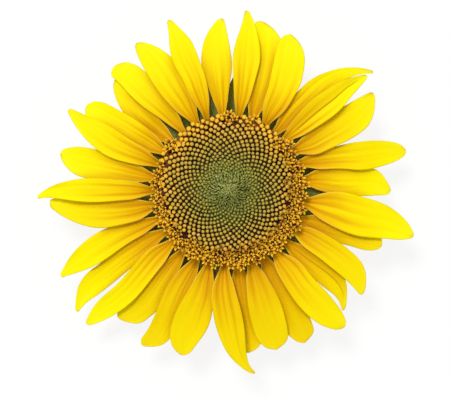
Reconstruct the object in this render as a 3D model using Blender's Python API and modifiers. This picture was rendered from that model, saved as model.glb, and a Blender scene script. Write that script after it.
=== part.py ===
"""A cut sunflower, lying face up on a short stub of its stem. Metres, +Z up.

The head is built round its own axis, then the whole flower is shifted so that the middle of its
bounding box stands over the origin, with the cut face of the stem at z = 0.
"""

import math

import bmesh
import bpy

MM = 0.001

# Stem and receptacle, in metres.
STEM_LENGTH = 0.014  # from the cut face to the back of the receptacle
STEM_RADIUS = 0.0092
STEM_COLLAR_RADIUS = 0.0116  # where the stem widens into the head
RIM_RADIUS = 0.0307  # widest part of the receptacle, where the petals stand
RIM_HEIGHT = 0.0156  # above the back of the receptacle
GAP = 0.0003  # between pieces that touch
TURN_STEPS = 48

# Disc: zones of florets, in metres.
CENTRE_ZONE_RADIUS = 0.0100
BUD_ZONE_RADIUS = 0.0288
OPEN_ZONE_RADIUS = 0.0350
FLORET_HEIGHT = 0.0054

# Petals. Every petal starts on the rim at BASE_RADIUS_MM and is drawn in polar form about the
# flower's axis: stations of (radius in mm, angle in degrees, width in mm), the last at the tip.
# The layer says how many petals lie over it: 0 is on top.
BASE_RADIUS_MM = 31.2
PETAL_THICKNESS = 0.0007
PETAL_ROWS, PETAL_COLUMNS = 11, 4
PETALS = (
    # layer, stations
    (3, ((31.2, 7.5, 2.8), (40, 6.8, 9), (50, 4.8, 11), (60, 3.7, 12), (68, 2, 8), (71.3, -1, 1.5))),
    (2, ((31.2, 21.5, 2.6), (40, 18.5, 7), (50, 16.7, 9.6), (60, 14.6, 12), (70, 13.7, 10.3),
         (78, 13, 5.5), (80, 12.7, 2.5))),
    (1, ((31.2, 31.9, 2.8), (40, 30, 8), (50, 29.4, 11.5), (60, 29.8, 13), (70, 31, 10),
         (74, 32.6, 5.5), (76.3, 33.8, 1.2))),
    (0, ((31.2, 42.5, 2.8), (40, 42, 7.5), (53, 41.6, 10.9), (60, 41, 10), (69, 41, 7),
         (74, 40.3, 4), (78.4, 39.7, 0.8))),
    (1, ((31.2, 51.5, 2.8), (40, 50, 7.5), (50, 49.6, 9.8), (60, 48.8, 9.5), (70, 46.7, 5),
         (76, 44, 3), (82, 39.6, 0.8))),
    (0, ((31.2, 61, 2.8), (40, 62.5, 8), (50, 62.8, 11), (60, 64.4, 13), (68, 66.3, 12),
         (71.5, 67.6, 8), (73.3, 68.6, 2.5))),
    (1, ((31.2, 72, 2.8), (40, 72.5, 8), (50, 73, 11), (60, 74, 11.5), (70, 75.5, 10.5),
         (73.6, 77.5, 7), (75.5, 79, 1.5))),
    (0, ((31.2, 82.7, 2.6), (43, 82.1, 7.5), (50, 82.3, 9.6), (60, 82.5, 11.3), (70, 83.3, 7),
         (75, 84.3, 3.8), (79, 85.3, 0.8))),
    (1, ((31.2, 95, 2.6), (45, 95.7, 8.5), (50, 96, 10.9), (60, 95.8, 11.7), (70, 94.3, 7.5),
         (75.5, 92.7, 1.5))),
    (0, ((31.2, 107.5, 2.4), (44, 106.2, 6.6), (52, 107, 9.5), (60, 108.2, 10.8), (67, 108.4, 9.7),
         (72, 108.7, 6), (79.1, 109.5, 0.8))),
    (1, ((31.2, 115.6, 2.8), (45, 118.3, 10), (60, 118.8, 13), (70, 120.4, 9), (74, 121.4, 5),
         (76.3, 122, 1.5))),
    (2, ((31.2, 128.1, 2.4), (40, 128.3, 6.2), (50, 129.5, 10), (60, 130.3, 11.5), (70, 131.2, 9.2),
         (73, 131.8, 6.3), (74.5, 132.1, 3.2))),
    (3, ((31.2, 139.5, 2.6), (40, 140, 7.5), (50, 140, 10), (60, 138, 9.5), (67, 136.5, 6.2),
         (70.2, 135.7, 2))),
    (2, ((31.2, 149.3, 2.6), (40, 149, 8), (50, 149, 10), (60, 149.3, 10.2), (70, 149.6, 8.5),
         (71.8, 149.8, 6.5), (73, 149.4, 3.5))),
    (0, ((31.2, 159.8, 2.6), (40, 159, 7), (50, 158.5, 9.4), (60, 157.3, 10.8), (70, 155.6, 7),
         (75, 154.4, 3.8), (78.7, 153.4, 0.8))),
    (1, ((31.2, 170.7, 2.6), (40, 170, 7), (50, 169.7, 9), (60, 169.4, 12.3), (70, 168.7, 10.5),
         (74, 168, 5.5), (75.8, 167.5, 2))),
    (0, ((31.2, 180.3, 2.4), (41, 180, 7.5), (50, 180, 9.2), (60, 180, 9.9), (70, 179.8, 8.5),
         (80, 180.7, 3.5), (84, 182, 0.8))),
    (1, ((31.2, 191.5, 2.6), (40, 192, 8.5), (50, 191, 11.5), (60, 189.5, 13), (70, 187.5, 8.5),
         (75, 186, 5), (79, 184.5, 1))),
    (2, ((31.2, 202.3, 2.4), (40, 202.4, 6.3), (50, 202.3, 9.1), (60, 203.3, 11.2), (70, 204.8, 10.2),
         (78, 205.9, 5.5), (83.4, 207, 0.8))),
    (3, ((31.2, 213.8, 2.6), (40, 211.7, 6.5), (50, 212.6, 9.4), (60, 213.3, 10.3), (70, 214, 10.3),
         (77, 215.3, 8), (82, 216.8, 4), (86.4, 218.5, 0.8))),
    (2, ((31.2, 222.3, 2.6), (40, 222.7, 7), (50, 223.2, 9.3), (60, 224.1, 10), (70, 223.9, 10),
         (80, 223.4, 6.5), (86.4, 223.2, 1.2))),
    (3, ((31.2, 232.8, 2.6), (40, 233, 6.6), (50, 233.5, 8.7), (60, 234.2, 10.7), (68, 232.5, 9.6),
         (73, 230.8, 7), (74.7, 228.6, 1.5))),
    (2, ((31.2, 245.3, 2.6), (40, 243.8, 7.5), (50, 243, 10), (60, 243.9, 10), (70, 244.1, 9.8),
         (74, 243.3, 8.6), (77, 241.8, 6), (78.3, 240.2, 1.8))),
    (1, ((31.2, 254.6, 2.8), (40, 254.7, 7.5), (50, 254.4, 12), (60, 253.6, 14.3), (70, 252.8, 10.5),
         (73.5, 253.4, 7), (75.3, 254, 3))),
    (0, ((31.2, 266.6, 2.8), (40, 266.6, 8), (50, 268.5, 11.5), (60, 270.6, 11.3), (70, 272.4, 8),
         (75, 274, 5), (78, 275.2, 2.7), (81, 277.8, 0.8))),
    (2, ((31.2, 276.8, 2.6), (40, 276.9, 7.5), (50, 277, 10), (60, 277.6, 10.5), (68, 278.2, 9.3),
         (70.2, 277.8, 7), (72, 276.6, 3.2))),
    (1, ((31.2, 287, 2.8), (40, 287, 8.5), (50, 287, 13), (60, 286.8, 14.2), (68, 286.6, 12),
         (71.5, 286.9, 7.5), (73, 286.6, 3.5))),
    (2, ((31.2, 297, 2.6), (40, 297, 8), (50, 297, 11), (60, 297.5, 12), (69, 297, 11),
         (73, 297.8, 8), (75, 296.5, 4))),
    (0, ((31.2, 306.7, 2.8), (43, 306.8, 9.8), (50, 306.9, 11.2), (60, 307.4, 12.4), (70, 308.4, 10.6),
         (75, 309.2, 7.5), (78.4, 309.9, 3))),
    (1, ((31.2, 317, 2.4), (40, 318.5, 6.5), (50, 319, 8.7), (60, 318.7, 9.6), (66, 317.5, 6.3),
         (70, 315.7, 3.2), (72.7, 313.5, 0.8))),
    (0, ((31.2, 329.2, 2.8), (40, 329.2, 8.7), (50, 329, 10), (60, 328, 10.2), (67, 326.6, 9.3),
         (71.5, 324.4, 6), (74, 322.2, 1.5))),
    (1, ((31.2, 337, 2.6), (40, 338.5, 8), (50, 339.4, 9.8), (60, 340.2, 10.2), (67, 340.6, 8.6),
         (69.8, 340.6, 5.5), (71.3, 340.1, 2.5))),
    (0, ((31.2, 351, 2.8), (36, 350.7, 7), (42, 350.1, 11.5), (50, 349.2, 15.4), (60, 348.6, 16.5),
         (70, 348.4, 13.7), (78, 347.3, 8.5), (81.5, 346.6, 4.5), (83.3, 346.2, 1.5))),
)
PETAL_CUP_MM = 0.7  # how far a petal's edges turn up
# Heights above the back of the receptacle, in mm, along a petal of the top layer.
PETAL_PROFILE = ((31.2, 14.2), (36, 15.9), (45, 17.4), (55, 17.4), (70, 15.8), (87, 13.2))
# How far each layer lies under the one above it, in mm.
LAYER_DROP = ((31.2, 0.35), (34, 1.0), (38, 1.9), (50, 2.1), (70, 3.0), (87, 3.8))

# Bracts, in mm: stations of (radius, height above the receptacle's back, share of full width).
BRACT_THICKNESS = 0.0009
BRACT_ROWS, BRACT_COLUMNS = 8, 4
BRACT_CUP_MM = 0.5
UPPER_BRACT = ((28.9, 5.0, 0.8), (33, 6.5, 1), (38, 7.1, 0.85), (44, 6.9, 0.5), (50, 6.1, 0.06))
LOWER_BRACT = ((25.2, 1.7, 0.65), (31, 3.6, 0.95), (37, 4.6, 0.95), (44, 4.3, 0.55), (51, 2.9, 0.06))
UPPER_BRACT_WIDTH_MM, LOWER_BRACT_WIDTH_MM = 12.5, 13.5
UPPER_BRACT_ANGLES = (0, 35.3, 67.2, 101.5, 136.4, 164.8, 196, 225.3, 258.8, 292.4, 324.6)
LOWER_BRACT_ANGLES = (17, 51, 86, 119, 151, 181, 211, 242, 275, 308, 342)
BRACT_TIP_REACH_MM = 2.5  # how much longer or shorter single bracts are

COLOURS = {
    "petal_yellow": (0.93, 0.72, 0.02, 0.55),
    "floret_orange": (0.72, 0.38, 0.03, 0.75),
    "bud_olive": (0.38, 0.30, 0.05, 0.8),
    "floret_green": (0.22, 0.27, 0.09, 0.85),
    "bract_green": (0.09, 0.15, 0.03, 0.7),
    "receptacle_green": (0.16, 0.24, 0.05, 0.65),
    "stem_green": (0.22, 0.30, 0.07, 0.6),
}


def clear_scene():
    for existing in list(bpy.data.objects):
        bpy.data.objects.remove(existing, do_unlink=True)


def make_material(name, red, green, blue, roughness):
    material = bpy.data.materials.new(name)
    material.use_nodes = True
    shader = material.node_tree.nodes["Principled BSDF"]
    shader.inputs["Base Color"].default_value = (red, green, blue, 1)
    shader.inputs["Roughness"].default_value = roughness
    shader.inputs["Metallic"].default_value = 0
    return material


def add_piece(name, mesh, material):
    piece = bpy.data.objects.new(name, mesh)
    piece.data.materials.append(material)
    piece.parent = flower_axis
    collection.objects.link(piece)
    return piece


def along(stations, column, radius):
    """The value in a column of the stations at a radius, on a smooth curve through all of them."""
    xs = [station[0] for station in stations]
    ys = [station[column] for station in stations]
    slopes = [(ys[i + 1] - ys[i]) / (xs[i + 1] - xs[i]) for i in range(len(xs) - 1)]
    tangents = [slopes[0]] + [(a + b) / 2 for a, b in zip(slopes, slopes[1:])] + [slopes[-1]]
    radius = min(max(radius, xs[0]), xs[-1])
    i = max(n for n in range(len(xs) - 1) if xs[n] <= radius)
    span = xs[i + 1] - xs[i]
    t = (radius - xs[i]) / span
    return (
        ys[i] * (1 + 2 * t) * (1 - t) ** 2
        + tangents[i] * span * t * (1 - t) ** 2
        + ys[i + 1] * t * t * (3 - 2 * t)
        - tangents[i + 1] * span * t * t * (1 - t)
    )


def add_turned(name, profile, material):
    """A solid of revolution. The profile runs down its outer side, in metres (radius, height)."""
    mesh = bpy.data.meshes.new(name)
    rim = bmesh.new()
    points = [rim.verts.new((radius, 0, height)) for radius, height in profile]
    for start, end in zip(points, points[1:]):
        rim.edges.new((start, end))
    if profile[0][0] > 0:
        rim.edges.new((points[-1], points[0]))
    rim.to_mesh(mesh)
    rim.free()
    piece = add_piece(name, mesh, material)
    screw = piece.modifiers.new("Turn", "SCREW")
    screw.steps = screw.render_steps = TURN_STEPS
    screw.use_merge_vertices = True
    screw.merge_threshold = 0.00001
    screw.use_smooth_shade = True
    return piece


def add_blade(name, rows, columns, place, thickness, material):
    """A thin leaf-like solid: a flat grid bent to place(share of length, side from -1 to 1)."""
    mesh = bpy.data.meshes.new(name)
    blade = bmesh.new()
    bmesh.ops.create_grid(blade, x_segments=rows, y_segments=columns, size=1)
    for vertex in blade.verts:
        vertex.co = place((vertex.co.x + 1) / 2, vertex.co.y)
    blade.to_mesh(mesh)
    blade.free()
    mesh.shade_smooth()
    piece = add_piece(name, mesh, material)
    wall = piece.modifiers.new("Thickness", "SOLIDIFY")
    wall.thickness = thickness
    wall.offset = 0
    return piece


def polar_point(radius_mm, degrees, height_mm):
    angle = math.radians(degrees)
    return (
        radius_mm * MM * math.cos(angle),
        radius_mm * MM * math.sin(angle),
        STEM_LENGTH + height_mm * MM,
    )


def petal_point(layer, stations, share, side):
    tip_radius = stations[-1][0]
    radius = BASE_RADIUS_MM + (tip_radius - BASE_RADIUS_MM) * (1 - (1 - share) ** 1.25)
    half_width = along(stations, 2, radius) / 2
    degrees = along(stations, 1, radius) + math.degrees(side * half_width / radius)
    height = along(PETAL_PROFILE, 1, radius) - layer * along(LAYER_DROP, 1, radius)
    height += PETAL_CUP_MM * side * side * min(1, half_width / 4)
    return polar_point(radius, degrees, height)


def bract_point(stations, angle, full_width_mm, reach_mm, share, side):
    radius = stations[0][0] + (stations[-1][0] - stations[0][0]) * share
    half_width = full_width_mm * along(stations, 2, radius) / 2
    degrees = angle + math.degrees(side * half_width / radius)
    height = along(stations, 1, radius) + BRACT_CUP_MM * side * side * min(1, half_width / 4)
    return polar_point(radius + reach_mm * share ** 2, degrees, height)


def add_petals(material):
    for number, (layer, stations) in enumerate(PETALS, 1):
        add_blade(
            f"petal_{number:02d}",
            PETAL_ROWS,
            PETAL_COLUMNS,
            lambda share, side: petal_point(layer, stations, share, side),
            PETAL_THICKNESS,
            material,
        )


def add_bracts(material):
    upper = [(angle, UPPER_BRACT, UPPER_BRACT_WIDTH_MM) for angle in UPPER_BRACT_ANGLES]
    lower = [(angle, LOWER_BRACT, LOWER_BRACT_WIDTH_MM) for angle in LOWER_BRACT_ANGLES]
    for number, (angle, stations, width) in enumerate(sorted(upper + lower), 1):
        reach = BRACT_TIP_REACH_MM * math.sin(number * 2.4)
        add_blade(
            f"bract_{number:02d}",
            BRACT_ROWS,
            BRACT_COLUMNS,
            lambda share, side: bract_point(stations, angle, width, reach, share, side),
            BRACT_THICKNESS,
            material,
        )


def add_stem_and_receptacle(stem_material, receptacle_material):
    add_turned(
        "stem",
        (
            (0, STEM_LENGTH - GAP),
            (STEM_COLLAR_RADIUS, STEM_LENGTH - GAP),
            (STEM_COLLAR_RADIUS - 0.0009, STEM_LENGTH - 0.0022),
            (STEM_RADIUS + 0.0003, STEM_LENGTH - 0.0055),
            (STEM_RADIUS, 0.0006),
            (STEM_RADIUS - 0.0006, 0),
            (0, 0),
        ),
        stem_material,
    )
    back = STEM_LENGTH
    add_turned(
        "receptacle",
        (
            (0, back + RIM_HEIGHT + 0.0018),
            (0.020, back + RIM_HEIGHT + 0.0017),
            (RIM_RADIUS - 0.0009, back + RIM_HEIGHT + 0.0012),
            (RIM_RADIUS, back + RIM_HEIGHT),
            (RIM_RADIUS - 0.0001, back + 0.0105),
            (0.0288, back + 0.0062),
            (0.0250, back + 0.0028),
            (0.0190, back + 0.0007),
            (0.0120, back),
            (0, back),
        ),
        receptacle_material,
    )


def add_disc(centre_material, bud_material, open_material):
    floor = STEM_LENGTH + RIM_HEIGHT + 0.0018 + GAP
    top = floor + FLORET_HEIGHT
    add_turned(
        "disc_florets_centre",
        (
            (0, top - 0.0006),
            (CENTRE_ZONE_RADIUS - 0.0008, top - 0.0002),
            (CENTRE_ZONE_RADIUS, top - 0.0008),
            (CENTRE_ZONE_RADIUS, floor),
            (0, floor),
        ),
        centre_material,
    )
    inner = CENTRE_ZONE_RADIUS + GAP
    add_turned(
        "disc_florets_buds",
        (
            (inner, top - 0.0003),
            (0.0200, top),
            (BUD_ZONE_RADIUS - 0.0010, top - 0.0001),
            (BUD_ZONE_RADIUS, top - 0.0008),
            (BUD_ZONE_RADIUS, floor),
            (inner, floor),
        ),
        bud_material,
    )
    inner = BUD_ZONE_RADIUS + GAP
    add_turned(
        "disc_florets_open",
        (
            (inner, top - 0.0002),
            (0.0315, top),
            (0.0340, top - 0.0008),
            (OPEN_ZONE_RADIUS, top - 0.0024),
            (0.0345, floor + 0.0012),
            (0.0320, floor),
            (inner, floor),
        ),
        open_material,
    )


def centre_of_spread():
    """Middle of the petals' bounding box, seen from above."""
    points = [
        petal_point(layer, stations, share / PETAL_ROWS, side / 2)
        for layer, stations in PETALS
        for share in range(PETAL_ROWS + 1)
        for side in range(-2, 3)
    ]
    xs, ys = [point[0] for point in points], [point[1] for point in points]
    return (min(xs) + max(xs)) / 2, (min(ys) + max(ys)) / 2


clear_scene()
collection = bpy.data.collections.new("sunflower")
bpy.context.scene.collection.children.link(collection)
flower_axis = bpy.data.objects.new("flower_axis", None)
collection.objects.link(flower_axis)
middle_x, middle_y = centre_of_spread()
flower_axis.location = (-middle_x, -middle_y, 0)

materials = {name: make_material(name, *values) for name, values in COLOURS.items()}
add_stem_and_receptacle(materials["stem_green"], materials["receptacle_green"])
add_disc(materials["floret_green"], materials["bud_olive"], materials["floret_orange"])
add_petals(materials["petal_yellow"])
add_bracts(materials["bract_green"])
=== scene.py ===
import bpy
import bmesh
import math
import random
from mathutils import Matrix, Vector
from mathutils.bvhtree import BVHTree


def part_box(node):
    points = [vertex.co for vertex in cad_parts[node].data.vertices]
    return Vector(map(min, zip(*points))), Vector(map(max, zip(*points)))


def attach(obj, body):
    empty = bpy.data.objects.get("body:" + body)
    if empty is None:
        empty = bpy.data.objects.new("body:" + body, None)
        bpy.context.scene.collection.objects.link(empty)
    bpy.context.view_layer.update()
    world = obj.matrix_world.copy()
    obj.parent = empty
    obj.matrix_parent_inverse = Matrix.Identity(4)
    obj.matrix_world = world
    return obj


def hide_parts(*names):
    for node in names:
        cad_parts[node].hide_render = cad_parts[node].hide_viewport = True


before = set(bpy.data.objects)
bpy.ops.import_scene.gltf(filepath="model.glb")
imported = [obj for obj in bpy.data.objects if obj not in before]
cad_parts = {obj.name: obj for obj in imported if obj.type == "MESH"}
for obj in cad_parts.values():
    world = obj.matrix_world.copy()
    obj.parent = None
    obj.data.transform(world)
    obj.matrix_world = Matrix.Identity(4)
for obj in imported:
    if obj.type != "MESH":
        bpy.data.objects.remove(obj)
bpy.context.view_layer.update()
mm = 0.001

low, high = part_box("receptacle")
axisX, axisY = (low.x + high.x) / 2, (low.y + high.y) / 2  # the flower's own axis
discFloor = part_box("disc_florets_buds")[0].z
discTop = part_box("disc_florets_buds")[1].z
rimRadius = (high.x - low.x) / 2
backHeight = low.z
petalCount = sum(name.startswith("petal_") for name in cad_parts)
bractCount = sum(name.startswith("bract_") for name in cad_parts)
print("frame loaded:", petalCount, "petals,", bractCount, "bracts")


def hexColour(code):
    channels = [int(code[i:i + 2], 16) / 255 for i in (0, 2, 4)]
    return (*[c / 12.92 if c <= 0.04045 else ((c + 0.055) / 1.055) ** 2.4 for c in channels], 1)


def smoothStep(start, end, value):
    t = min(1, max(0, (value - start) / (end - start)))
    return t * t * (3 - 2 * t)


def splineAt(values, share):
    # Catmull-Rom through evenly spaced values, share from 0 to 1.
    place = min(max(share, 0), 1) * (len(values) - 1)
    i = min(int(place), len(values) - 2)
    t = place - i
    before = values[i - 1] if i > 0 else 2 * values[0] - values[1]
    after = values[i + 2] if i + 2 < len(values) else 2 * values[-1] - values[-2]
    a, b = values[i], values[i + 1]
    return 0.5 * (
        2 * a + (b - before) * t
        + (2 * before - 5 * a + 4 * b - after) * t * t
        + (3 * a - before - 3 * b + after) * t ** 3
    )


def placeAt(radius, angle, height):
    return Vector((axisX + radius * math.cos(angle), axisY + radius * math.sin(angle), height))


def scaled(points, base=0.0):
    # Distances and heights given in mm, the heights over a base.
    return [(radius * mm, base + height * mm) for radius, height in points]


def meshObject(name, mesh, material=None):
    piece = bpy.data.objects.new(name, mesh)
    bpy.context.scene.collection.objects.link(piece)
    if material:
        piece.data.materials.append(material)
    return piece


def settle(piece, slotName, *replacedNodes):
    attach(piece, "root")
    if replacedNodes:
        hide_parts(*replacedNodes)


class Wire:
    # A node's output that takes part in sums: each operator adds a Math node.
    def __init__(self, board, socket):
        self.board = board
        self.socket = socket

    def sum(self, operation, first, second=0.0):
        return self.board.add("ShaderNodeMath", {"operation": operation}, {0: first, 1: second})

    def __add__(self, other):
        return self.sum("ADD", self, other)

    def __radd__(self, other):
        return self.sum("ADD", other, self)

    def __sub__(self, other):
        return self.sum("SUBTRACT", self, other)

    def __rsub__(self, other):
        return self.sum("SUBTRACT", other, self)

    def __mul__(self, other):
        return self.sum("MULTIPLY", self, other)

    def __rmul__(self, other):
        return self.sum("MULTIPLY", other, self)

    def __truediv__(self, other):
        return self.sum("DIVIDE", self, other)

    def __pow__(self, other):
        return self.sum("POWER", self, other)

    def __gt__(self, other):
        return self.sum("GREATER_THAN", self, other)

    def __abs__(self):
        return self.sum("ABSOLUTE", self)

    def sine(self):
        return self.sum("SINE", self)

    def cosine(self):
        return self.sum("COSINE", self)


class Board:
    # A node tree that nodes are added to, for a material or for geometry.
    def __init__(self, tree):
        self.tree = tree

    def add(self, kind, settings=None, sockets=None, output=0):
        node = self.tree.nodes.new(kind)
        for key, value in (settings or {}).items():
            if key == "stops":
                elements = node.color_ramp.elements
                while len(elements) < len(value):
                    elements.new(0.5)
                for element, (position, colour) in zip(elements, value):
                    element.position = position
                    element.color = hexColour(colour) if isinstance(colour, str) else (colour,) * 3 + (1,)
            else:
                setattr(node, key, value)
        for key, value in (sockets or {}).items():
            if isinstance(value, Wire):
                self.tree.links.new(value.socket, node.inputs[key])
            else:
                node.inputs[key].default_value = value
        return Wire(self, node.outputs[output])

    def ramp(self, factor, *stops):
        return self.add("ShaderNodeValToRGB", {"stops": stops}, {0: factor})

    def blend(self, factor, first, second):
        sides = [hexColour(side) if isinstance(side, str) else side for side in (first, second)]
        return self.add("ShaderNodeMix", {"data_type": "RGBA"}, {0: factor, 6: sides[0], 7: sides[1]}, 2)

    def between(self, value, start, end):
        sockets = {0: value, 1: start, 2: end}
        return self.add("ShaderNodeMapRange", {"interpolation_type": "SMOOTHSTEP"}, sockets)

    def attributes(self, *names):
        return [self.add("ShaderNodeAttribute", {"attribute_name": name}, output="Fac") for name in names]

    def chance(self, lowest, highest, seed):
        sockets = {2: lowest, 3: highest, "Seed": seed}
        return self.add("FunctionNodeRandomValue", {"data_type": "FLOAT"}, sockets, 1)

    def store(self, instances, name, value):
        settings = {"data_type": "FLOAT", "domain": "INSTANCE"}
        sockets = {"Geometry": instances, "Name": name, "Value": value}
        return self.add("GeometryNodeStoreNamedAttribute", settings, sockets)

    def vector(self, x, y, z):
        return self.add("ShaderNodeCombineXYZ", None, {0: x, 1: y, 2: z})

    def noise(self, vector, scale, detail=2.0, roughness=0.5):
        sockets = {"Vector": vector, "Scale": scale, "Detail": detail, "Roughness": roughness}
        return self.add("ShaderNodeTexNoise", None, sockets)

    def parts(self, vector):
        split = self.add("ShaderNodeSeparateXYZ", None, {0: vector}).socket.node
        return [Wire(self, output) for output in split.outputs]

    def uv(self):
        return self.parts(self.add("ShaderNodeUVMap"))[:2]

    def place(self):
        return self.add("ShaderNodeTexCoord", output="Object")

    def fromAxis(self, place):
        # A place measured from the flower's axis: x, y, the distance out, and the height.
        x, y, height = self.parts(place)
        x, y = x - axisX, y - axisY
        return x, y, (x * x + y * y) ** 0.5, height

    def bump(self, height, strength, distance):
        sockets = {"Height": height, "Strength": strength, "Distance": distance}
        return self.add("ShaderNodeBump", None, sockets)


def newMaterial(name, paint, **constants):
    # paint(board) gives what varies over the surface; constants are the same all over.
    material = bpy.data.materials.new(name)
    material.use_nodes = True
    material.node_tree.nodes.clear()
    board = Board(material.node_tree)
    sockets = {key.replace("_", " "): value for key, value in constants.items()}
    sockets.update(paint(board))
    shader = board.add("ShaderNodeBsdfPrincipled", None, sockets)
    output = material.node_tree.nodes.new("ShaderNodeOutputMaterial")
    material.node_tree.links.new(shader.socket, output.inputs[0])
    return material


def paintPetal(board):
    across, along = board.uv()
    side = across * 2 - 1
    tone, shadeLevel, groove, tucked = board.attributes("tone", "deepness", "groove", "tucked")
    streak = board.noise(board.vector(side * 3.5 + tone * 40, along * 0.8, tone * 17), 1.0, 3.0, 0.55)
    vein = board.noise(board.vector(side * 26 + tone * 90, along * 2.2, tone * 31), 1.0, 2.0, 0.6)
    cloud = board.noise(board.vector(side * 1.3 + tone * 20, along * 2.5, tone * 9), 1.0, 2.0)
    # The level is lowered in the grooves, as painted shade.
    level = along + (streak - 0.5) * 0.5 + (cloud - 0.5) * 0.26 + (vein - 0.5) * 0.05 - groove * 0.16
    fresh = board.ramp(
        level, (0.0, "C88402"), (0.06, "E4A400"), (0.14, "EEB400"), (0.25, "F4C600"), (0.38, "FCDA00"),
        (0.54, "FFE600"), (0.8, "FFF000"), (1.0, "FFF414"),
    )
    # Painted shade: a darker ramp for the petals painted as in shade, most of them at the bottom of the
    # flower.
    inShade = board.ramp(
        level, (0.0, "B47002"), (0.08, "D89802"), (0.25, "E6B000"), (0.5, "EEC600"), (1.0, "F4D404"),
    )
    colour = board.blend(shadeLevel, fresh, inShade)
    near = 1 - board.between(along, 0.3, 0.85)
    # Painted shade in the grooves, over the inner part of the petal.
    colour = board.blend(groove * near * 0.5, colour, "D09600")
    colour = board.blend(board.between(vein, 0.54, 0.76) * near * 0.3, colour, "C48C00")
    # Painted shadow near the edges of the neighbouring petals that lie over this one.
    colour = board.blend(tucked * (1 - board.between(along, 0.6, 1.0)) * 0.55, colour, "C88E00")
    rim = board.between(abs(side), 0.86, 0.99) * (1 - board.between(along, 0.12, 0.42))
    colour = board.blend(rim * 0.8, colour, "F6D254")
    thin = board.between(abs(side), 0.93, 1.0) * board.between(along, 0.3, 0.6)
    colour = board.blend(thin * 0.4, colour, "C6BE00")
    # Painted shade along a fold line, and over the half beyond it.
    crease, creaseSide = board.attributes("crease", "creaseSide")
    offSide = side - creaseSide
    inLength = board.between(along, 0.1, 0.25) * (1 - board.between(along, 0.85, 0.97))
    colour = board.blend(board.between(offSide, -0.04, 0.1) * crease * inLength * 0.35, colour, "D8A200")
    line = (1 - board.between(abs(offSide), 0.02, 0.09)) * crease * inLength
    colour = board.blend(line * 0.85, colour, "A87000")
    tipDry = board.between(along, 0.94, 1.02) * board.between(cloud, 0.45, 0.75)
    colour = board.blend(tipDry * 0.6, colour, "E0A838")
    return {
        "Base Color": colour,
        "Roughness": 0.42 + vein * 0.25,
        "Normal": board.bump(vein * 0.7 + streak * 0.5, 0.35, 0.4 * mm),
    }


def paintBud(board):
    rise, tone, ring = board.attributes("rise", "tone", "ring")
    top = board.ramp(
        ring + (tone - 0.5) * 0.2, (0.26, "827F28"), (0.38, "968A2A"), (0.52, "B2982E"), (0.68, "C4A02E"),
        (0.8, "E2AA20"), (0.9, "F8BE0E"),
    )
    speckle = board.noise(board.place(), 2600.0, 2.0)
    # Pale flecks on the knobs, which also serve as painted highlights.
    top = board.blend(board.between(speckle, 0.55, 0.8) * 0.3, top, "E0CC60")
    pinkish = board.between(tone, 0.86, 0.98) * board.between(ring, 0.45, 0.7) * 0.5
    top = board.blend(pinkish, top, "DFA668")
    # A painted highlight on the top of each knob.
    top = board.blend(board.between(rise, 0.96, 1.0) * 0.22, top, "E8D878")
    shade = board.between(rise, 0.64, 0.95)
    colour = board.blend(shade, board.blend(board.between(ring, 0.32, 0.52), "545A18", "56180C"), top)
    return {
        "Base Color": colour,
        "Roughness": 0.5 + speckle * 0.3,
        "Normal": board.bump(speckle, 0.3, 0.1 * mm),
    }


def paintTip(board):
    rise, tone, ring = board.attributes("rise", "tone", "ring")
    x, y = board.fromAxis(board.place())[:2]
    fresh = board.ramp(rise, (0.0, "50580E"), (0.35, "8A9032"), (0.7, "B8BC60"), (1.0, "DCE09C"))
    fresh = board.blend(board.between(tone, 0.4, 1.0) * 0.5, fresh, "8C8F3C")
    # Painted shade: the centre's needles darker towards the lower right, away from the light.
    shadedSide = board.between(x * 0.6 - y, -2.5 * mm, 4 * mm)
    fresh = board.blend(shadedSide * 0.55, fresh, "6C6E1C")
    old = board.ramp(rise, (0.0, "34100A"), (0.7, "5C1E14"), (1.0, "82482C"))
    colour = board.blend(board.between(ring, 0.36, 0.6), fresh, old)
    grain = board.noise(board.place(), 3000.0, 1.0)
    return {"Base Color": colour, "Roughness": 0.55 + grain * 0.3}


def paintOpenFloret(board):
    rise, tone, ring = board.attributes("rise", "tone", "ring")
    grain = board.noise(board.place(), 1800.0, 2.0)
    colour = board.ramp(
        rise + (grain - 0.5) * 0.15, (0.0, "7C3009"), (0.28, "B25C0E"), (0.45, "DE9812"), (0.65, "FCC41A"),
        (0.9, "FCCC28"), (1.0, "FFE070"),
    )
    colour = board.blend(board.between(tone, 0.4, 1.0) * (1.2 - rise) * 0.7, colour, "9A4C14")
    colour = board.blend((1 - board.between(ring, 0.76, 0.86)) * 0.55, colour, "8A4A14")
    return {"Base Color": colour, "Roughness": 0.5 + grain * 0.3, "Normal": board.bump(grain, 0.3, 0.1 * mm)}


def paintBed(board):
    place = board.place()
    grain = board.noise(place, 900.0, 3.0)
    out = board.fromAxis(place)[2]
    ripe = board.ramp(grain, (0.35, "320C0A"), (0.6, "521810"), (0.75, "72341C"))
    young = board.ramp(grain, (0.35, "3E460E"), (0.6, "5A621C"), (0.75, "7C8234"))
    colour = board.blend(board.between(out, 10 * mm, 18 * mm), young, ripe)
    colour = board.blend(board.between(out, 28 * mm, 30.5 * mm), colour, "9A5414")
    return {"Base Color": colour, "Roughness": 0.6 + grain * 0.3, "Normal": board.bump(grain, 0.6, 0.5 * mm)}


def paintBract(board):
    across, along = board.uv()
    side = across * 2 - 1
    tone, groove = board.attributes("tone", "groove")
    vein = board.noise(board.vector(side * 16 + tone * 60, along * 3, tone * 11), 1.0, 2.0, 0.6)
    mottle = board.noise(board.place(), 420.0, 3.0)
    colour = board.ramp(along + (mottle - 0.5) * 0.4, (0.0, "868E36"), (0.4, "707A2C"), (1.0, "5E6C2A"))
    colour = board.blend(board.between(vein, 0.5, 0.8) * 0.5, colour, "8C9448")
    colour = board.blend(groove * 0.5, colour, "98A254")
    edge = board.between(abs(side), 0.86, 1.0) * 0.6
    colour = board.blend(edge, colour, "A2A868")
    return {
        "Base Color": colour,
        "Roughness": 0.6 + mottle * 0.25,
        "Normal": board.bump(vein + mottle * 0.4, 0.5, 0.3 * mm),
    }


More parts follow.
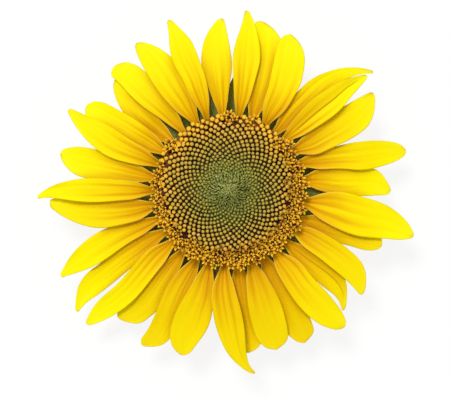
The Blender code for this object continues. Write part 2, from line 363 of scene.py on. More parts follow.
def paintReceptacle(board):
    place = board.place()
    mottle = board.noise(place, 260.0, 4.0)
    fine = board.noise(place, 1500.0, 2.0)
    colour = board.ramp(mottle, (0.3, "4E5E1E"), (0.55, "6C7A2C"), (0.75, "8C9642"))
    colour = board.blend(board.between(fine, 0.55, 0.8) * 0.4, colour, "A9B87C")
    return {
        "Base Color": colour,
        "Roughness": 0.6 + fine * 0.25,
        "Normal": board.bump(mottle + fine * 0.5, 0.5, 0.4 * mm),
    }


def paintStem(board):
    place = board.place()
    x, y, out, height = board.fromAxis(place)
    fibre = board.noise(board.vector(x * 900, y * 900, height * 60), 1.0, 3.0)
    skin = board.ramp(fibre, (0.3, "55742C"), (0.55, "7C9844"), (0.75, "9DB266"))
    spongy = board.noise(place, 1300.0, 3.0)
    pith = board.ramp(spongy, (0.3, "C9CBA0"), (0.6, "E4E3C6"), (0.8, "F0EEDC"))
    wood = board.ramp(fibre, (0.3, "8A9A50"), (0.7, "B4BC7C"))
    cut = board.blend(board.between(out, 6.4 * mm, 7.2 * mm), pith, wood)
    cut = board.blend(board.between(out, 8.3 * mm, 8.7 * mm), cut, "5F7A30")  # the skin, cut through
    colour = board.blend(board.between(height, 0.2 * mm, 0.5 * mm), cut, skin)
    return {
        "Base Color": colour,
        "Roughness": 0.55 + spongy * 0.3,
        "Normal": board.bump(fibre + spongy * 0.5, 0.5, 0.4 * mm),
    }


def paintHair(board):
    tone, = board.attributes("tone")
    return {"Base Color": board.blend(tone, "D8DCC0", "B7C196"), "Roughness": 0.4 + tone * 0.2}


petalYellow = newMaterial("petalYellow", paintPetal, Specular_IOR_Level=0.05)
budKnob = newMaterial("budKnob", paintBud, Specular_IOR_Level=0.25)
greenTip = newMaterial("greenTip", paintTip, Specular_IOR_Level=0.2)
openFloret = newMaterial("openFloret", paintOpenFloret, Specular_IOR_Level=0.2)
darkBed = newMaterial("darkBed", paintBed)
bractGreen = newMaterial("bractGreen", paintBract)
receptacleGreen = newMaterial("receptacleGreen", paintReceptacle)
stemGreen = newMaterial("stemGreen", paintStem)
paleHair = newMaterial("paleHair", paintHair)
print("materials made")


def readBlade(node, rings):
    # Edge angles and mid heights of a CAD blade on rings round the axis, from its base to its tip.
    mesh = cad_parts[node].data
    corners = [v.co.copy() for v in mesh.vertices]
    tree = BVHTree.FromPolygons(corners, [list(p.vertices) for p in mesh.polygons])
    polar = [(math.hypot(v.x - axisX, v.y - axisY), math.atan2(v.y - axisY, v.x - axisX)) for v in corners]
    inner, outer = min(polar)[0] + 0.1 * mm, max(polar)[0] - 0.12 * mm
    start = [angle for radius, angle in polar if radius < inner + 1.5 * mm]
    middle = math.atan2(sum(map(math.sin, start)), sum(map(math.cos, start)))
    above, below = 0.2, -0.1

    def hit(radius, angle, top=True):
        spot = placeAt(radius, angle, above if top else below)
        found = tree.ray_cast(spot, Vector((0, 0, -1 if top else 1)))[0]
        return found.z if found else None

    blade = []
    for ring in range(rings + 1):
        radius = inner + (outer - inner) * (ring / rings)
        step = 0.25 * mm / radius
        tries = [middle + k * step for k in sorted(range(-16, 17), key=abs)]
        found = next((angle for angle in tries if hit(radius, angle) is not None), None)
        if found is None:
            blade.append((radius, middle, middle, blade[-1][3]))
            continue
        edges = []
        for turn in (-1, 1):
            inside = found
            while hit(radius, inside + turn * step) is not None:
                inside += turn * step
            outside = inside + turn * step
            for _ in range(7):  # halving the gap
                centre = (inside + outside) / 2
                if hit(radius, centre) is None:
                    outside = centre
                else:
                    inside = centre
            edges.append(inside)
        middle = (edges[0] + edges[1]) / 2
        height = (hit(radius, middle) + hit(radius, middle, False)) / 2
        blade.append((radius, edges[0], edges[1], height))
    return blade


def bladeAt(blade, radius):
    # The two edge angles and the mid height of a blade at a distance from the axis.
    share = (radius - blade[0][0]) / (blade[-1][0] - blade[0][0])
    if share > 1:
        return None
    return [splineAt([ring[k] for ring in blade], max(0, share)) for k in (1, 2, 3)]


def overlapShadeAt(radius, angle, blade, others, reach):
    # From 0 to 1, the painted shadow on a point of one blade: how near the point is to the edge of a blade
    # that lies over it.
    own = bladeAt(blade, radius)[2]
    nearest = 0
    for other in others:
        found = bladeAt(other, radius)
        if found is None or found[2] < own + 0.1 * mm:
            continue
        left, right = found[:2]
        turns = round((angle - left) / (2 * math.pi)) * 2 * math.pi
        away = max(left - angle + turns, angle - turns - right) * radius
        nearest = max(nearest, 1 if away < 0 else math.exp(-(away / reach) ** 2))
    return nearest


bladeRules = {
    "roundTip": 0.5,  # the power a tip is rounded by; a larger one is more pointed
    "crowding": 1.35,  # more puts the rows closer together towards the tip
    "shortestTip": 0.5 * mm, "longestTip": 3.5 * mm,  # the length that is rounded
}


def growBlade(name, blade, style, lift, material, values, extras=None):
    # lift(share, side, halfWidth) gives the height over the blade's middle line and how grooved it is.
    radii, lefts, rights, heights = [list(column) for column in zip(*blade)]
    for edge in (lefts, rights, heights):
        edge[1:-1] = [(edge[i - 1] + 2 * edge[i] + edge[i + 1]) / 4 for i in range(1, len(edge) - 1)]
    tipWidth = (rights[-1] - lefts[-1]) * radii[-1]
    roundOff = min(max(tipWidth * style["tipRound"], bladeRules["shortestTip"]), bladeRules["longestTip"])
    extras = extras or {}
    rows, columns = style["rows"], style["columns"]
    length = radii[-1] - radii[0]
    mesh = bpy.data.meshes.new(name)
    grid = bmesh.new()
    uvLayer = grid.loops.layers.uv.new("UVMap")
    layers = {key: grid.verts.layers.float.new(key) for key in (*values, "groove", "tucked")}
    others = extras.get("others", ())
    table = []
    shares = [0] + [1 - (1 - row / rows) ** bladeRules["crowding"] for row in range(rows + 1)]
    for row, share in enumerate(shares):
        radius = radii[0] + (length + style["longer"]) * share - (style["tuck"] if row == 0 else 0)
        middle = (splineAt(lefts, share) + splineAt(rights, share)) / 2
        half = (splineAt(rights, share) - splineAt(lefts, share)) / 2
        half *= 1 - style["narrowBase"] * (1 - smoothStep(0.05, 0.2, share))
        half += style["broader"] * smoothStep(0.3, 0.6, share) / radius
        for place, spread, lowSide, highSide in extras.get("wider", ()):
            grown = math.exp(-((radius / mm - place) / spread) ** 2) * mm / radius
            middle += (highSide - lowSide) * grown / 2
            half += (highSide + lowSide) * grown / 2
        near = (radius - (radii[-1] + style["longer"] - roundOff)) / roundOff
        if near > 0:
            half *= max(0.04, max(0, 1 - near * near) ** extras.get("point", bladeRules["roundTip"]))
        line = []
        for column in range(columns + 1):
            side = column / columns * 2 - 1
            angle = middle + side * half
            up, groove = lift(share, side, half * radius)
            height = splineAt(heights, share) + up
            vertex = grid.verts.new(placeAt(radius, angle, height))
            spot = min(max(radius, radii[0]), radii[-1] * 0.9999)
            # The painted shadow from the neighbouring petals that lie over this one.
            tucked = overlapShadeAt(spot, angle, blade, others, style["shadeReach"]) if others else 0
            painted = {**values, "groove": groove, "tucked": tucked}
            for key, layer in layers.items():
                vertex[layer] = painted[key]
            line.append(vertex)
        table.append(line)
    for row in range(rows + 1):
        for column in range(columns):
            corners = ((row, column), (row + 1, column), (row + 1, column + 1), (row, column + 1))
            face = grid.faces.new([table[r][c] for r, c in corners])
            face.smooth = True
            for loop, (r, c) in zip(face.loops, corners):
                loop[uvLayer].uv = (c / columns, shares[r])
    grid.to_mesh(mesh)
    grid.free()
    piece = meshObject(name, mesh, material)
    wall = piece.modifiers.new("wall", "SOLIDIFY")
    wall.thickness = style["thickness"]
    wall.offset = 0
    return piece


petalStyle = {
    "rings": 26, "rows": 54, "columns": 22, "thickness": 0.35 * mm, "tipRound": 0.6, "narrowBase": 0.2,
    "tuck": 1.6 * mm,  # how far the base reaches into the receptacle
    "longer": 0.3 * mm, "broader": 0.35 * mm,  # than the solid
    "shadeReach": 2.6 * mm,  # how far a petal that lies over another shades it
    "cup": 0.5 * mm, "baseCup": 0.7 * mm, "groove": 0.42 * mm, "wave": 0.5 * mm, "fold": 0.8 * mm,
    "creases": {4: (0.0, 0.9), 30: (0.1, 0.7), 25: (0.35, 0.25)},  # place across, from -1 to 1, and depth
    # How far each petal is painted darker, as painted shade; mostly the petals at the bottom.
    "inShade": {22: 0.6, 23: 0.75, 24: 0.55, 25: 0.6, 26: 0.9, 27: 0.75, 28: 0.9, 29: 0.3, 30: 0.5, 31: 0.45,
               32: 0.7, 3: 0.25, 2: 0.2, 18: 0.35, 13: 0.3},
    "point": {27: 0.95, 28: 0.8, 1: 0.6, 32: 0.4, 22: 0.4, 23: 0.42},  # all others have a round tip
    # Where a petal is wider than its solid: distance out, spread, and by how much on each side, in mm.
    "wider": {
        1: ((48, 7, 0.9, 0), (70, 6, 0, 0.9)),
        2: ((42, 6, 0, 1.0),),
        3: ((42, 6, 1.0, 0), (68, 8, 0.4, 0)),
        5: ((44, 6, 0, 1.1), (74, 6, 0.7, 0)),
        6: ((44, 6, 1.1, 0), (55, 7, 0.8, 0), (76, 6, -0.6, -0.6)),
        7: ((68, 6, 0, 0.8), (76, 5, 0, 1.2)),
        8: ((80, 9, 1.3, -1.3),),
        9: ((56, 9, 0.8, 0),),
        10: ((45, 6, 0, 1.2), (58, 8, -0.5, 0)),
        11: ((45, 6, 1.2, 0),),
        12: ((74, 4, 0, 1.6),),
        15: ((52, 9, 0, 0.8),),
        16: ((52, 9, 0.8, 0),),
        17: ((74, 9, -0.7, 0),),
        18: ((75, 6, 1.8, 0),),
        20: ((44, 6, 0, 0.9), (66, 5, -0.9, 0), (81, 6, 1.3, -0.4)),
        21: ((44, 6, 0.9, 0), (66, 8, -0.9, 0)),
        22: ((72, 5, 0.6, 0.8),),
        23: ((80, 5, 0.3, 0.3),),
        24: ((47, 6, 0, 0.6), (62, 9, 0, 0.8)),
        25: ((47, 6, 0.6, 0), (60, 8, 0.3, 0)),
        27: ((70, 5, 0, 0.6),),
        29: ((45, 6, 0, 1.0), (66, 8, 0, 0.15)),
        30: ((44, 6, 1.0, 0), (64, 8, -0.9, 0.9)),
        32: ((58, 7, -0.6, 0),),
        33: ((48, 7, 0, 0.9),),
    },
}


def petalLift(number):
    style = petalStyle
    chance = random.Random(number * 7 + 3)
    fullTurn = 6.28
    cup = style["cup"] * chance.uniform(0.3, 1.5)
    waveTurns, wavePhase = chance.uniform(1.6, 3.2), chance.uniform(0, fullTurn)
    wave = style["wave"] * chance.uniform(0.4, 1.2)
    tilt = chance.uniform(-0.4, 0.4) * mm
    foldSide, foldDepth = style["creases"].get(number, (0, 0))
    grooves = [
        (chance.uniform(-0.62, -0.35), chance.uniform(0.08, 0.15), chance.uniform(0.5, 1)),
        (chance.uniform(-0.12, 0.12), chance.uniform(0.06, 0.11), chance.uniform(0.3, 0.8)),
        (chance.uniform(0.35, 0.62), chance.uniform(0.08, 0.15), chance.uniform(0.5, 1)),
    ]

    def lift(share, side, half):
        wide = min(1, half / (4 * mm))
        base = 1 - smoothStep(0.05, 0.4, share)
        middle = smoothStep(0.2, 0.7, share)
        groove = sum(deep * math.exp(-((side - place) / spread) ** 2) for place, spread, deep in grooves)
        groove *= 1 - 0.8 * smoothStep(0.25, 0.95, share)
        height = cup * side * side * wide + style["baseCup"] * abs(side) ** 1.5 * base * wide
        height -= style["groove"] * groove * wide
        ripple = math.sin(share * waveTurns * fullTurn + wavePhase + side)
        height += wave * abs(side) ** 3 * ripple * middle
        height += tilt * side * smoothStep(0.1, 0.6, share)
        rise = min(1, abs(side - foldSide) * 1.4) - 0.5
        height += style["fold"] * foldDepth * rise * smoothStep(0.15, 0.4, share) * wide
        return height, groove

    return lift


blades = [readBlade(f"petal_{number:02d}", petalStyle["rings"]) for number in range(1, petalCount + 1)]
for number, blade in enumerate(blades, 1):
    creaseSide, crease = petalStyle["creases"].get(number, (0, 0))
    values = {
        "tone": random.Random(number).random(), "deepness": petalStyle["inShade"].get(number, 0),
        "crease": crease, "creaseSide": creaseSide,
    }
    neighbours = [blades[(number - 1 + step) % petalCount] for step in (-2, -1, 1, 2)]
    extras = {
        "wider": petalStyle["wider"].get(number, ()),
        "point": petalStyle["point"].get(number, bladeRules["roundTip"]),
        "others": neighbours,
    }
    lift = petalLift(number)
    petal = growBlade(f"petal{number:02d}", blade, petalStyle, lift, petalYellow, values, extras)
    settle(petal, "petal", f"petal_{number:02d}")
print("petals grown")

bractStyle = {
    "rings": 12, "rows": 24, "columns": 14, "thickness": 0.6 * mm, "tipRound": 0.5, "narrowBase": 0.0,
    "tuck": 2 * mm, "longer": 0, "broader": 0,
    "cup": 0.45 * mm, "rib": 0.3 * mm, "sideVeins": (0.4, 0.75),  # across, from 0 to 1
}


def bractLift(share, side, half):
    wide = min(1, half / (4 * mm))
    places = [place * (1 - share * 0.6) for place in bractStyle["sideVeins"]]
    veins = 0.5 * sum(math.exp(-((abs(side) - place) / 0.09) ** 2) for place in places)
    ribs = math.exp(-(side / 0.12) ** 2) + veins
    return bractStyle["cup"] * side * side * wide - bractStyle["rib"] * ribs * wide, ribs


bracts = []
for number in range(1, bractCount + 1):
    node = f"bract_{number:02d}"
    blade = readBlade(node, bractStyle["rings"])
    values = {"tone": random.Random(number).random()}
    bract = growBlade(f"bract{number:02d}", blade, bractStyle, bractLift, bractGreen, values)
    settle(bract, "bract", node)
    bracts.append(bract)
print("bracts grown")


discRadius = 35 * mm
goldenTurn = math.pi * (3 - math.sqrt(5))
# Where the florets still to open end: distance from the axis, and the groups that open late on the +Y side.
opening = {
    "edge": 27.6 * mm, "edgeUp": 1.6 * mm, "edgeLeft": 1.2 * mm, "ragged": 0.8 * mm, "overlap": 0.4 * mm,
    "lateMiddle": 102, "lateHalf": 55, "openGroups": ((88, 6), (71, 4), (143, 8)),  # degrees
}


def turnedShape(name, profile, sides, lobes=0, lobeDepth=0.0, bend=0.0):
    # A small closed shape, base to top, with the height share stored as rise.
    shape = bmesh.new()
    riseLayer = shape.verts.layers.float.new("rise")
    bottom, top = profile[0][1], profile[-1][1]
    rings = []
    for radius, height in profile[:-1]:
        share = (height - bottom) / (top - bottom)
        ring = []
        for k in range(sides):
            angle = k / sides * 2 * math.pi
            out = radius * (1 + lobeDepth * math.cos(lobes * angle) * share)
            aside = bend * share ** 2
            vertex = shape.verts.new((out * math.cos(angle) + aside, out * math.sin(angle), height))
            vertex[riseLayer] = share
            ring.append(vertex)
        rings.append(ring)
    pole = shape.verts.new((bend, 0, top))
    pole[riseLayer] = 1
    shape.faces.new(rings[0][::-1])
    for lower, upper in zip(rings, rings[1:]):
        for k in range(sides):
            shape.faces.new((lower[k], lower[(k + 1) % sides], upper[(k + 1) % sides], upper[k]))
    for k in range(sides):
        shape.faces.new((rings[-1][k], rings[-1][(k + 1) % sides], pole))
    for face in shape.faces:
        face.smooth = True
    mesh = bpy.data.meshes.new(name)
    shape.to_mesh(mesh)
    shape.free()
    return meshObject(name, mesh)


openStyle = {  # an open floret: distance from its own axis and height in mm, and the place on its colours
    "foot": (0.5, -2.8, 0.25), "throat": (0.7, -0.45, 0.4),
    "lobeEdge": (1.14, 0.16, 0.85), "lobeMiddle": (1.1, -0.02, 0.66), "lobeTip": (1.72, 0.3, 1.0),
    "lobeHalf": 21,  # degrees
    "wall": 0.12 * mm,
    "anthers": ((0.26, -1.2, 0.0), (0.3, 0.1, 0.1), (0.16, 0.7, 0.55)),
}


def starShape(name):
    # An open floret: a tube, five pointed lobes and the dark column of anthers.
    shape = bmesh.new()
    riseLayer = shape.verts.layers.float.new("rise")

    def point(degrees, radius, height, rise):
        angle = math.radians(degrees)
        vertex = shape.verts.new((radius * math.cos(angle) * mm, radius * math.sin(angle) * mm, height * mm))
        vertex[riseLayer] = rise
        return vertex

    foot = [point(36 * k, *openStyle["foot"]) for k in range(10)]
    throat = [point(36 * k, *openStyle["throat"]) for k in range(10)]
    for k in range(10):
        shape.faces.new((foot[k], foot[(k + 1) % 10], throat[(k + 1) % 10], throat[k]))
    for k in range(5):
        degrees, half = 72 * k, openStyle["lobeHalf"]
        left, centre, right = throat[(2 * k - 1) % 10], throat[2 * k], throat[(2 * k + 1) % 10]
        midLeft, midRight = [point(degrees + turn, *openStyle["lobeEdge"]) for turn in (-half, half)]
        midCentre = point(degrees, *openStyle["lobeMiddle"])
        tip = point(degrees, *openStyle["lobeTip"])
        shape.faces.new((left, midLeft, midCentre, centre))
        shape.faces.new((centre, midCentre, midRight, right))
        shape.faces.new((midLeft, tip, midCentre))
        shape.faces.new((midCentre, tip, midRight))
    bmesh.ops.recalc_face_normals(shape, faces=shape.faces)
    bmesh.ops.solidify(shape, geom=shape.faces[:], thickness=openStyle["wall"])
    made = [[point(72 * k, *ring) for k in range(5)] for ring in openStyle["anthers"]]
    for lower, upper in zip(made, made[1:]):
        for k in range(5):
            shape.faces.new((lower[k], lower[(k + 1) % 5], upper[(k + 1) % 5], upper[k]))
    shape.faces.new(made[0][::-1])
    shape.faces.new(made[-1])
    for face in shape.faces:
        face.smooth = True
    mesh = bpy.data.meshes.new(name)
    shape.to_mesh(mesh)
    shape.free()
    return meshObject(name, mesh)


def startTree(name, inputs):
    # A Geometry Nodes tree: its board, a wire from each input, and the inputs' identifiers.
    tree = bpy.data.node_groups.new(name, "GeometryNodeTree")
    sockets = {}
    for kind, keys in inputs.items():
        for key in keys:
            made = tree.interface.new_socket(key, in_out="INPUT", socket_type=f"NodeSocket{kind}")
            sockets[key] = made.identifier
    tree.interface.new_socket("Geometry", in_out="OUTPUT", socket_type="NodeSocketGeometry")
    board = Board(tree)
    given = tree.nodes.new("NodeGroupInput")
    return board, {key: Wire(board, given.outputs[key]) for key in sockets}, sockets


def endTree(board, grown, material):
    real = board.add("GeometryNodeRealizeInstances", None, {0: grown})
    done = board.add("GeometryNodeSetMaterial", None, {"Geometry": real, "Material": material})
    output = board.tree.nodes.new("NodeGroupOutput")
    board.tree.links.new(done.socket, output.inputs[0])


def spiralTree():
    # Shapes set out on the golden-angle spiral between two counts.
    board, wires, sockets = startTree("floretSpiral", {
        "Object": ("Shape",), "Material": ("Material",), "Int": ("First", "Last", "Total", "Seed"),
        "Float": ("Inner", "Outer", "Exponent", "Shift", "Height", "Rim Drop", "Size", "Growth",
                  "Lean In", "Lean Out", "Untidy", "Jitter", "Part"),
    })

    def chance(lowest, highest, offset):
        return board.chance(lowest, highest, wires["Seed"] + offset)

    points = board.add("GeometryNodePoints", None, {"Count": wires["Last"] - wires["First"]})
    index = board.add("GeometryNodeInputIndex") + wires["First"] + wires["Shift"]
    share = ((index + 0.5) / wires["Total"]) ** wires["Exponent"]
    angle = index * goldenTurn
    untidy = wires["Untidy"]
    evenRadius = wires["Inner"] + (wires["Outer"] - wires["Inner"]) * share
    ring = evenRadius / discRadius
    radius = evenRadius + chance(-1.0, 1.0, 1) * wires["Jitter"]
    height = wires["Height"] - wires["Rim Drop"] * ring ** 8 + chance(-1.0, 1.0, 2) * wires["Jitter"] * 0.7
    swing = angle + chance(-1.0, 1.0, 9) * wires["Jitter"] / (radius + 2 * mm)
    position = board.vector(radius * swing.cosine() + axisX, radius * swing.sine() + axisY, height)
    placed = board.add("GeometryNodeSetPosition", None, {"Geometry": points, "Position": position})

    def around(degrees, half):
        return (angle - math.radians(degrees)).cosine() > math.cos(math.radians(half))

    edge = opening["edge"] + opening["edgeUp"] * angle.sine() - opening["edgeLeft"] * angle.cosine()
    part = wires["Part"]
    edge = edge + chance(-1.0, 1.0, 3) * opening["ragged"] + part * opening["overlap"]
    late = around(opening["lateMiddle"], opening["lateHalf"])
    for degrees, half in opening["openGroups"]:
        late = late * (1 - around(degrees, half))
    closed = 1 - (1 - late) * (evenRadius > edge)
    # Part 1 keeps the florets still closed, -1 the open ones, 0 all of them.
    keep = (part * (closed * 2 - 1) + (1 - abs(part))) > 0.5
    lean = wires["Lean Out"] * ring ** 6 - wires["Lean In"] * (1 - ring) + chance(-1.0, 1.0, 4) * untidy
    turn = board.vector(chance(-1.0, 1.0, 5) * untidy, lean, angle + chance(-1.0, 1.0, 6) * untidy * 2)
    size = (wires["Size"] + wires["Growth"] * ring) * chance(0.9, 1.1, 7)
    shape = board.add("GeometryNodeObjectInfo", None, {"Object": wires["Shape"]}, "Geometry")
    spread = {
        "Points": placed, "Selection": keep, "Instance": shape, "Rotation": turn,
        "Scale": board.vector(size, size, size),
    }
    grown = board.add("GeometryNodeInstanceOnPoints", None, spread)
    away = board.fromAxis(board.add("GeometryNodeInputPosition"))[2]
    for name, value in (("tone", chance(0.0, 1.0, 8)), ("ring", away / discRadius)):
        grown = board.store(grown, name, value)
    endTree(board, grown, wires["Material"])
    return board.tree, sockets


def growFromTree(name, tree, sockets, values):
    piece = meshObject(name, bpy.data.meshes.new(name))
    grower = piece.modifiers.new("grow", "NODES")
    grower.node_group = tree
    for key, value in values.items():
        grower[sockets[key]] = value
    bpy.context.view_layer.update()
    mesh = bpy.data.meshes.new_from_object(piece.evaluated_get(bpy.context.evaluated_depsgraph_get()))
    piece.modifiers.clear()
    piece.data = mesh
    mesh.name = name
    print(name, len(mesh.polygons), "faces")
    return piece


floretTree, floretSockets = spiralTree()
knobShape = turnedShape("knobShape", scaled(
    ((0.36, -3.0), (0.44, -1.5), (0.7, -0.85), (0.76, -0.45), (0.66, -0.14), (0.34, 0.02), (0, 0.05)),
), 10, 5, 0.09)
needleShape = turnedShape(
    "needleShape", scaled(((0.34, -2.6), (0.42, -1.5), (0.3, -0.6), (0, 0.15))), 5, bend=-0.3 * mm,
)
fuzzShape = turnedShape("fuzzShape", scaled(((0.09, -1.9), (0.13, -0.8), (0, 0))), 4, bend=-0.15 * mm)
paleaShape = turnedShape(
    "paleaShape", scaled(((0.34, -2.6), (0.36, -1.5), (0.2, -0.7), (0, 0))), 4, bend=-0.1 * mm,
)
openShape = starShape("openShape")

evenly = {"Total": 1218, "Inner": 0.0, "Outer": discRadius, "Exponent": 0.8}
floretStyles = {
    "floretsCentre": (needleShape, greenTip, "floret_centre", ("disc_florets_centre",), {
        **evenly, "First": 0, "Last": 340, "Height": discTop - 0.5 * mm, "Size": 0.8, "Growth": 0.9,
        "Lean In": 0.95, "Untidy": 0.25, "Jitter": 0.3 * mm, "Seed": 3}),
    "floretsBuds": (knobShape, budKnob, "floret_bud", ("disc_florets_buds",), {
        **evenly, "First": 215, "Last": 1130, "Height": discTop - 0.1 * mm, "Size": 0.54, "Growth": 0.84,
        "Rim Drop": 0.9 * mm, "Untidy": 0.16, "Jitter": 0.17 * mm, "Lean Out": 0.3, "Part": 1.0, "Seed": 5}),
    "floretsOpen": (openShape, openFloret, "floret_open", ("disc_florets_open",), {
        "First": 0, "Last": 205, "Total": 205, "Inner": 24.5 * mm, "Outer": 34.0 * mm, "Exponent": 0.93,
        "Height": discTop - 0.2 * mm, "Rim Drop": 1.4 * mm, "Size": 1.2, "Lean Out": 0.5,
        "Untidy": 0.35, "Jitter": 0.3 * mm, "Part": -1.0, "Seed": 5}),
    "floretsFuzz": (fuzzShape, greenTip, "floret_centre", (), {
        "First": 0, "Last": 640, "Total": 640, "Inner": 0.0, "Outer": 12.5 * mm, "Exponent": 0.5,
        "Height": discTop + 0.05 * mm, "Size": 0.9, "Growth": 0.6, "Lean In": 0.95, "Untidy": 0.3,
        "Jitter": 0.3 * mm, "Seed": 21}),
    "paleae": (paleaShape, greenTip, "floret_centre", (), {
        **evenly, "First": 150, "Last": 1130, "Shift": 0.5, "Height": discTop - 0.9 * mm,
        "Rim Drop": 1.5 * mm, "Size": 0.6, "Growth": 0.6, "Lean In": 0.3, "Untidy": 0.25,
        "Jitter": 0.1 * mm, "Seed": 11}),
}
for name, (shape, material, slotName, nodes, values) in floretStyles.items():
    florets = growFromTree(name, floretTree, floretSockets, {"Shape": shape, "Material": material, **values})
    settle(florets, slotName, *nodes)
for shape in (knobShape, needleShape, fuzzShape, paleaShape, openShape):
    bpy.data.objects.remove(shape)


def turnedPiece(name, profile, steps, material, warp=None):
    # A solid of revolution round the flower's axis, closed at its poles. The profile runs down.
    shape = bmesh.new()
    rings = []
    for radius, height in profile:
        ring = []
        count = 1 if radius == 0 else steps
        for k in range(count):
            angle = k / steps * 2 * math.pi
            out, up = warp(radius, height, angle) if warp and radius else (radius, height)
            ring.append(shape.verts.new(placeAt(out, angle, up)))
        rings.append(ring)
    for upper, lower in zip(rings, rings[1:]):
        for k in range(steps):
            after = (k + 1) % steps
            if len(upper) == 1:
                shape.faces.new((upper[0], lower[k], lower[after]))
            elif len(lower) == 1:
                shape.faces.new((upper[k], lower[0], upper[after]))
            else:
                shape.faces.new((upper[k], lower[k], lower[after], upper[after]))
    for face in shape.faces:
        face.smooth = True
    mesh = bpy.data.meshes.new(name)
    shape.to_mesh(mesh)
    shape.free()
    return meshObject(name, mesh, material)


bedStyle = {
    "height": 2.2 * mm,  # over the disc's floor
    "top": ((0, 1), (8, 0.8), (16, 0), (28, -0.4), (31.5, -1.6)),  # distance from the axis, height in mm
    "radius": 32.2 * mm, "steps": 96,
}
bedTop = scaled(bedStyle["top"], discFloor + bedStyle["height"])
bedFoot = [(bedStyle["radius"], discFloor), (0, discFloor)]
bed = turnedPiece("discBed", bedTop + bedFoot, bedStyle["steps"], darkBed)
settle(bed, "floret_bud")


def alongProfile(points, steps):
    heights = [splineAt([p[1] for p in points], i / steps) for i in range(steps + 1)]
    radii = [splineAt([p[0] for p in points], i / steps) for i in range(steps + 1)]
    return list(zip([max(0.0, r) for r in radii], heights))


def ribAt(style, angle):
    return sum(height * math.sin(angle * count + phase) for count, height, phase in style["ribs"])


# Profiles are pairs of distance from the axis and height, in mm.
receptacleStyle = {
    "ribs": ((21, 0.18 * mm, 0), (13, 0.12 * mm, 1)),  # how many round the axis, how high, and a shift
    "top": ((0, -0.4), (26, -0.5), (29.6, -0.8)),  # over the disc's floor
    "side": ((30.4, 16.6), (30.7, 15.4), (30.5, 11.5), (29.6, 8), (27.6, 5), (24.4, 2.6), (19.5, 0.95),
             (14.5, 0.35), (10.5, 0.25)),  # over the back
    "back": ((0, 0.2),), "sideSteps": 26, "steps": 160,
}


def receptacleWarp(radius, height, angle):
    # The ribs push outwards at the rim and upwards at the back.
    inward = smoothStep(rimRadius, rimRadius * 0.35, radius)
    rib = ribAt(receptacleStyle, angle)
    return radius + rib * (1 - inward), height + rib * inward * smoothStep(0, rimRadius * 0.5, radius)


receptacle = turnedPiece(
    "receptacleSkin",
    scaled(receptacleStyle["top"], discFloor)
    + alongProfile(scaled(receptacleStyle["side"], backHeight), receptacleStyle["sideSteps"])
    + scaled(receptacleStyle["back"], backHeight),
    receptacleStyle["steps"], receptacleGreen, receptacleWarp,
)
settle(receptacle, "receptacle", "receptacle")

stemStyle = {
    "ribs": ((11, 0.16 * mm, 0), (7, 0.1 * mm, 2)),
    "top": ((0, 13.7),),
    "side": ((11.4, 13.7), (10.7, 12.2), (9.9, 10), (9.45, 7.5), (9.25, 5), (9.2, 2.5), (9.1, 0.6)),
    "cut": ((8.8, 0.12), (8.4, 0), (7, 0), (5, 0), (2.5, 0), (0, 0)), "sideSteps": 20, "steps": 120,
}


def stemWarp(radius, height, angle):
    return radius + ribAt(stemStyle, angle) * smoothStep(0, 8 * mm, radius), height


stem = turnedPiece(
    "stemStub",
    scaled(stemStyle["top"]) + alongProfile(scaled(stemStyle["side"]), stemStyle["sideSteps"])
    + scaled(stemStyle["cut"]),
    stemStyle["steps"], stemGreen, stemWarp,
)
settle(stem, "stem", "stem")
print("receptacle and stem turned")


hairStyle = {
    "perSquareMetre": 110000, "stem": 0.5, "receptacle": 0.6, "bract": 0.35,  # shares of that number
    "length": 1.1 * mm, "thickness": 0.035 * mm, "untidy": 0.7,
}


def hairTree():
    board, wires, sockets = startTree("hairs", {
        "Object": ("Skin", "Hair"), "Material": ("Material",), "Float": ("Density", "Untidy"),
        "Int": ("Seed",),
    })

    def chance(lowest, highest, offset):
        return board.chance(lowest, highest, wires["Seed"] + offset)

    skin = board.add("GeometryNodeObjectInfo", None, {"Object": wires["Skin"]}, "Geometry")
    hair = board.add("GeometryNodeObjectInfo", None, {"Object": wires["Hair"]}, "Geometry")
    up = board.parts(board.add("GeometryNodeInputNormal"))[2]
    height = board.parts(board.add("GeometryNodeInputPosition"))[2]
    outward = (height > 2 * mm) * (1 - (up > 0.5))  # not near the cut face, nor on what the petals cover
    points = board.add(
        "GeometryNodeDistributePointsOnFaces", None,
        {"Mesh": skin, "Selection": outward, "Density": wires["Density"], "Seed": wires["Seed"]},
    )
    facing = Wire(board, points.socket.node.outputs["Rotation"])

    untidy = wires["Untidy"]
    lean = board.vector(chance(-1.0, 1.0, 1) * untidy, chance(-1.0, 1.0, 2) * untidy, 0.0)
    turned = board.add("FunctionNodeRotateRotation", {"rotation_space": "LOCAL"}, {0: facing, 1: lean})
    size = chance(0.5, 1.3, 3)
    grown = board.add(
        "GeometryNodeInstanceOnPoints", None,
        {"Points": points, "Instance": hair, "Rotation": turned, "Scale": board.vector(1.0, 1.0, size)},
    )
    toned = board.store(grown, "tone", chance(0.0, 1.0, 4))
    endTree(board, toned, wires["Material"])
    return board.tree, sockets


hairShape = turnedShape(
    "hairShape",
    ((hairStyle["thickness"], -0.05 * mm), (hairStyle["thickness"] * 0.6, hairStyle["length"] * 0.6),
     (0, hairStyle["length"])), 3,
)
hairs, hairSockets = hairTree()
hairy = [(stem, "stem"), (receptacle, "receptacle")] + [(bract, "bract") for bract in bracts]
for number, (skin, slotName) in enumerate(hairy):
    hair = growFromTree(f"hairs{skin.name[0].upper()}{skin.name[1:]}", hairs, hairSockets, {
        "Skin": skin, "Hair": hairShape, "Material": paleHair, "Untidy": hairStyle["untidy"],
        "Density": hairStyle["perSquareMetre"] * hairStyle[slotName], "Seed": number})
    settle(hair, slotName)
bpy.data.objects.remove(hairShape)
print("hairs grown")


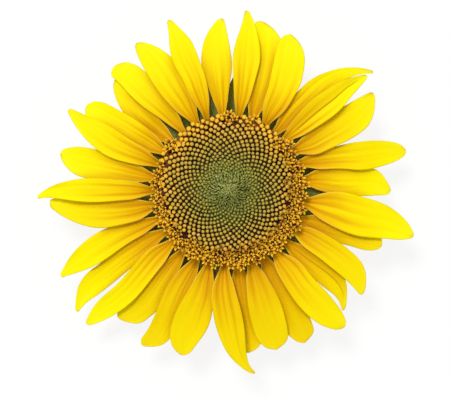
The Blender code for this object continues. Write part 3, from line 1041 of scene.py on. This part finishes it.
studio = {
    "worldLevel": 0.54, "sunLevel": 1.85, "sunSpread": 16, "sunTilt": (-22, -13, 0),  # degrees
    "floorLevel": 0.84,  # how much of the floor's white is its own light
    "lens": 150.0, "viewWidth": 198 * mm, "viewHeight": 28 * mm,  # what the view spans, and at what height
    "aside": (-1.8 * mm, -4.95 * mm),  # the camera, from the flower's axis
}


def paintFloor():
    material = bpy.data.materials.new("paleFloor")
    material.use_nodes = True
    material.node_tree.nodes.clear()
    board = Board(material.node_tree)
    ground = board.add("ShaderNodeBsdfDiffuse", None, {"Color": (0.98, 0.98, 0.98, 1)})
    glow = board.add("ShaderNodeEmission", None, {"Color": (1, 1, 1, 1), "Strength": 1.0})
    kinds = ("Camera", "Glossy", "Transmission")
    camera, glossy, through = [board.add("ShaderNodeLightPath", output=f"Is {kind} Ray") for kind in kinds]
    own = (camera + glossy + through) * studio["floorLevel"]
    shown = board.add("ShaderNodeMixShader", None, {0: own, 1: ground, 2: glow})
    output = material.node_tree.nodes.new("ShaderNodeOutputMaterial")
    material.node_tree.links.new(shown.socket, output.inputs[0])
    return material


floorMesh = bpy.data.meshes.new("floor")
floorShape = bmesh.new()
bmesh.ops.create_grid(floorShape, x_segments=1, y_segments=1, size=3)
floorShape.to_mesh(floorMesh)
floorShape.free()
floor = meshObject("floor", floorMesh, paintFloor())

world = bpy.data.worlds.new("studio")
world.use_nodes = True
backdrop = world.node_tree.nodes["Background"]
backdrop.inputs["Color"].default_value = (1, 1, 1, 1)
backdrop.inputs["Strength"].default_value = studio["worldLevel"]
bpy.context.scene.world = world
sunData = bpy.data.lights.new("key", "SUN")
sunData.energy = studio["sunLevel"]
sunData.angle = math.radians(studio["sunSpread"])
sun = bpy.data.objects.new("key", sunData)
sun.rotation_euler = [math.radians(a) for a in studio["sunTilt"]]
bpy.context.scene.collection.objects.link(sun)

cameraData = bpy.data.cameras.new("camera")
cameraData.lens = studio["lens"]
camera = bpy.data.objects.new("camera", cameraData)
distance = studio["viewWidth"] * studio["lens"] / cameraData.sensor_width
aside = studio["aside"]
camera.location = (axisX + aside[0], axisY + aside[1], studio["viewHeight"] + distance)
bpy.context.scene.collection.objects.link(camera)
bpy.context.scene.camera = camera
bpy.context.scene.view_settings.view_transform = "Standard"
print("stage set")
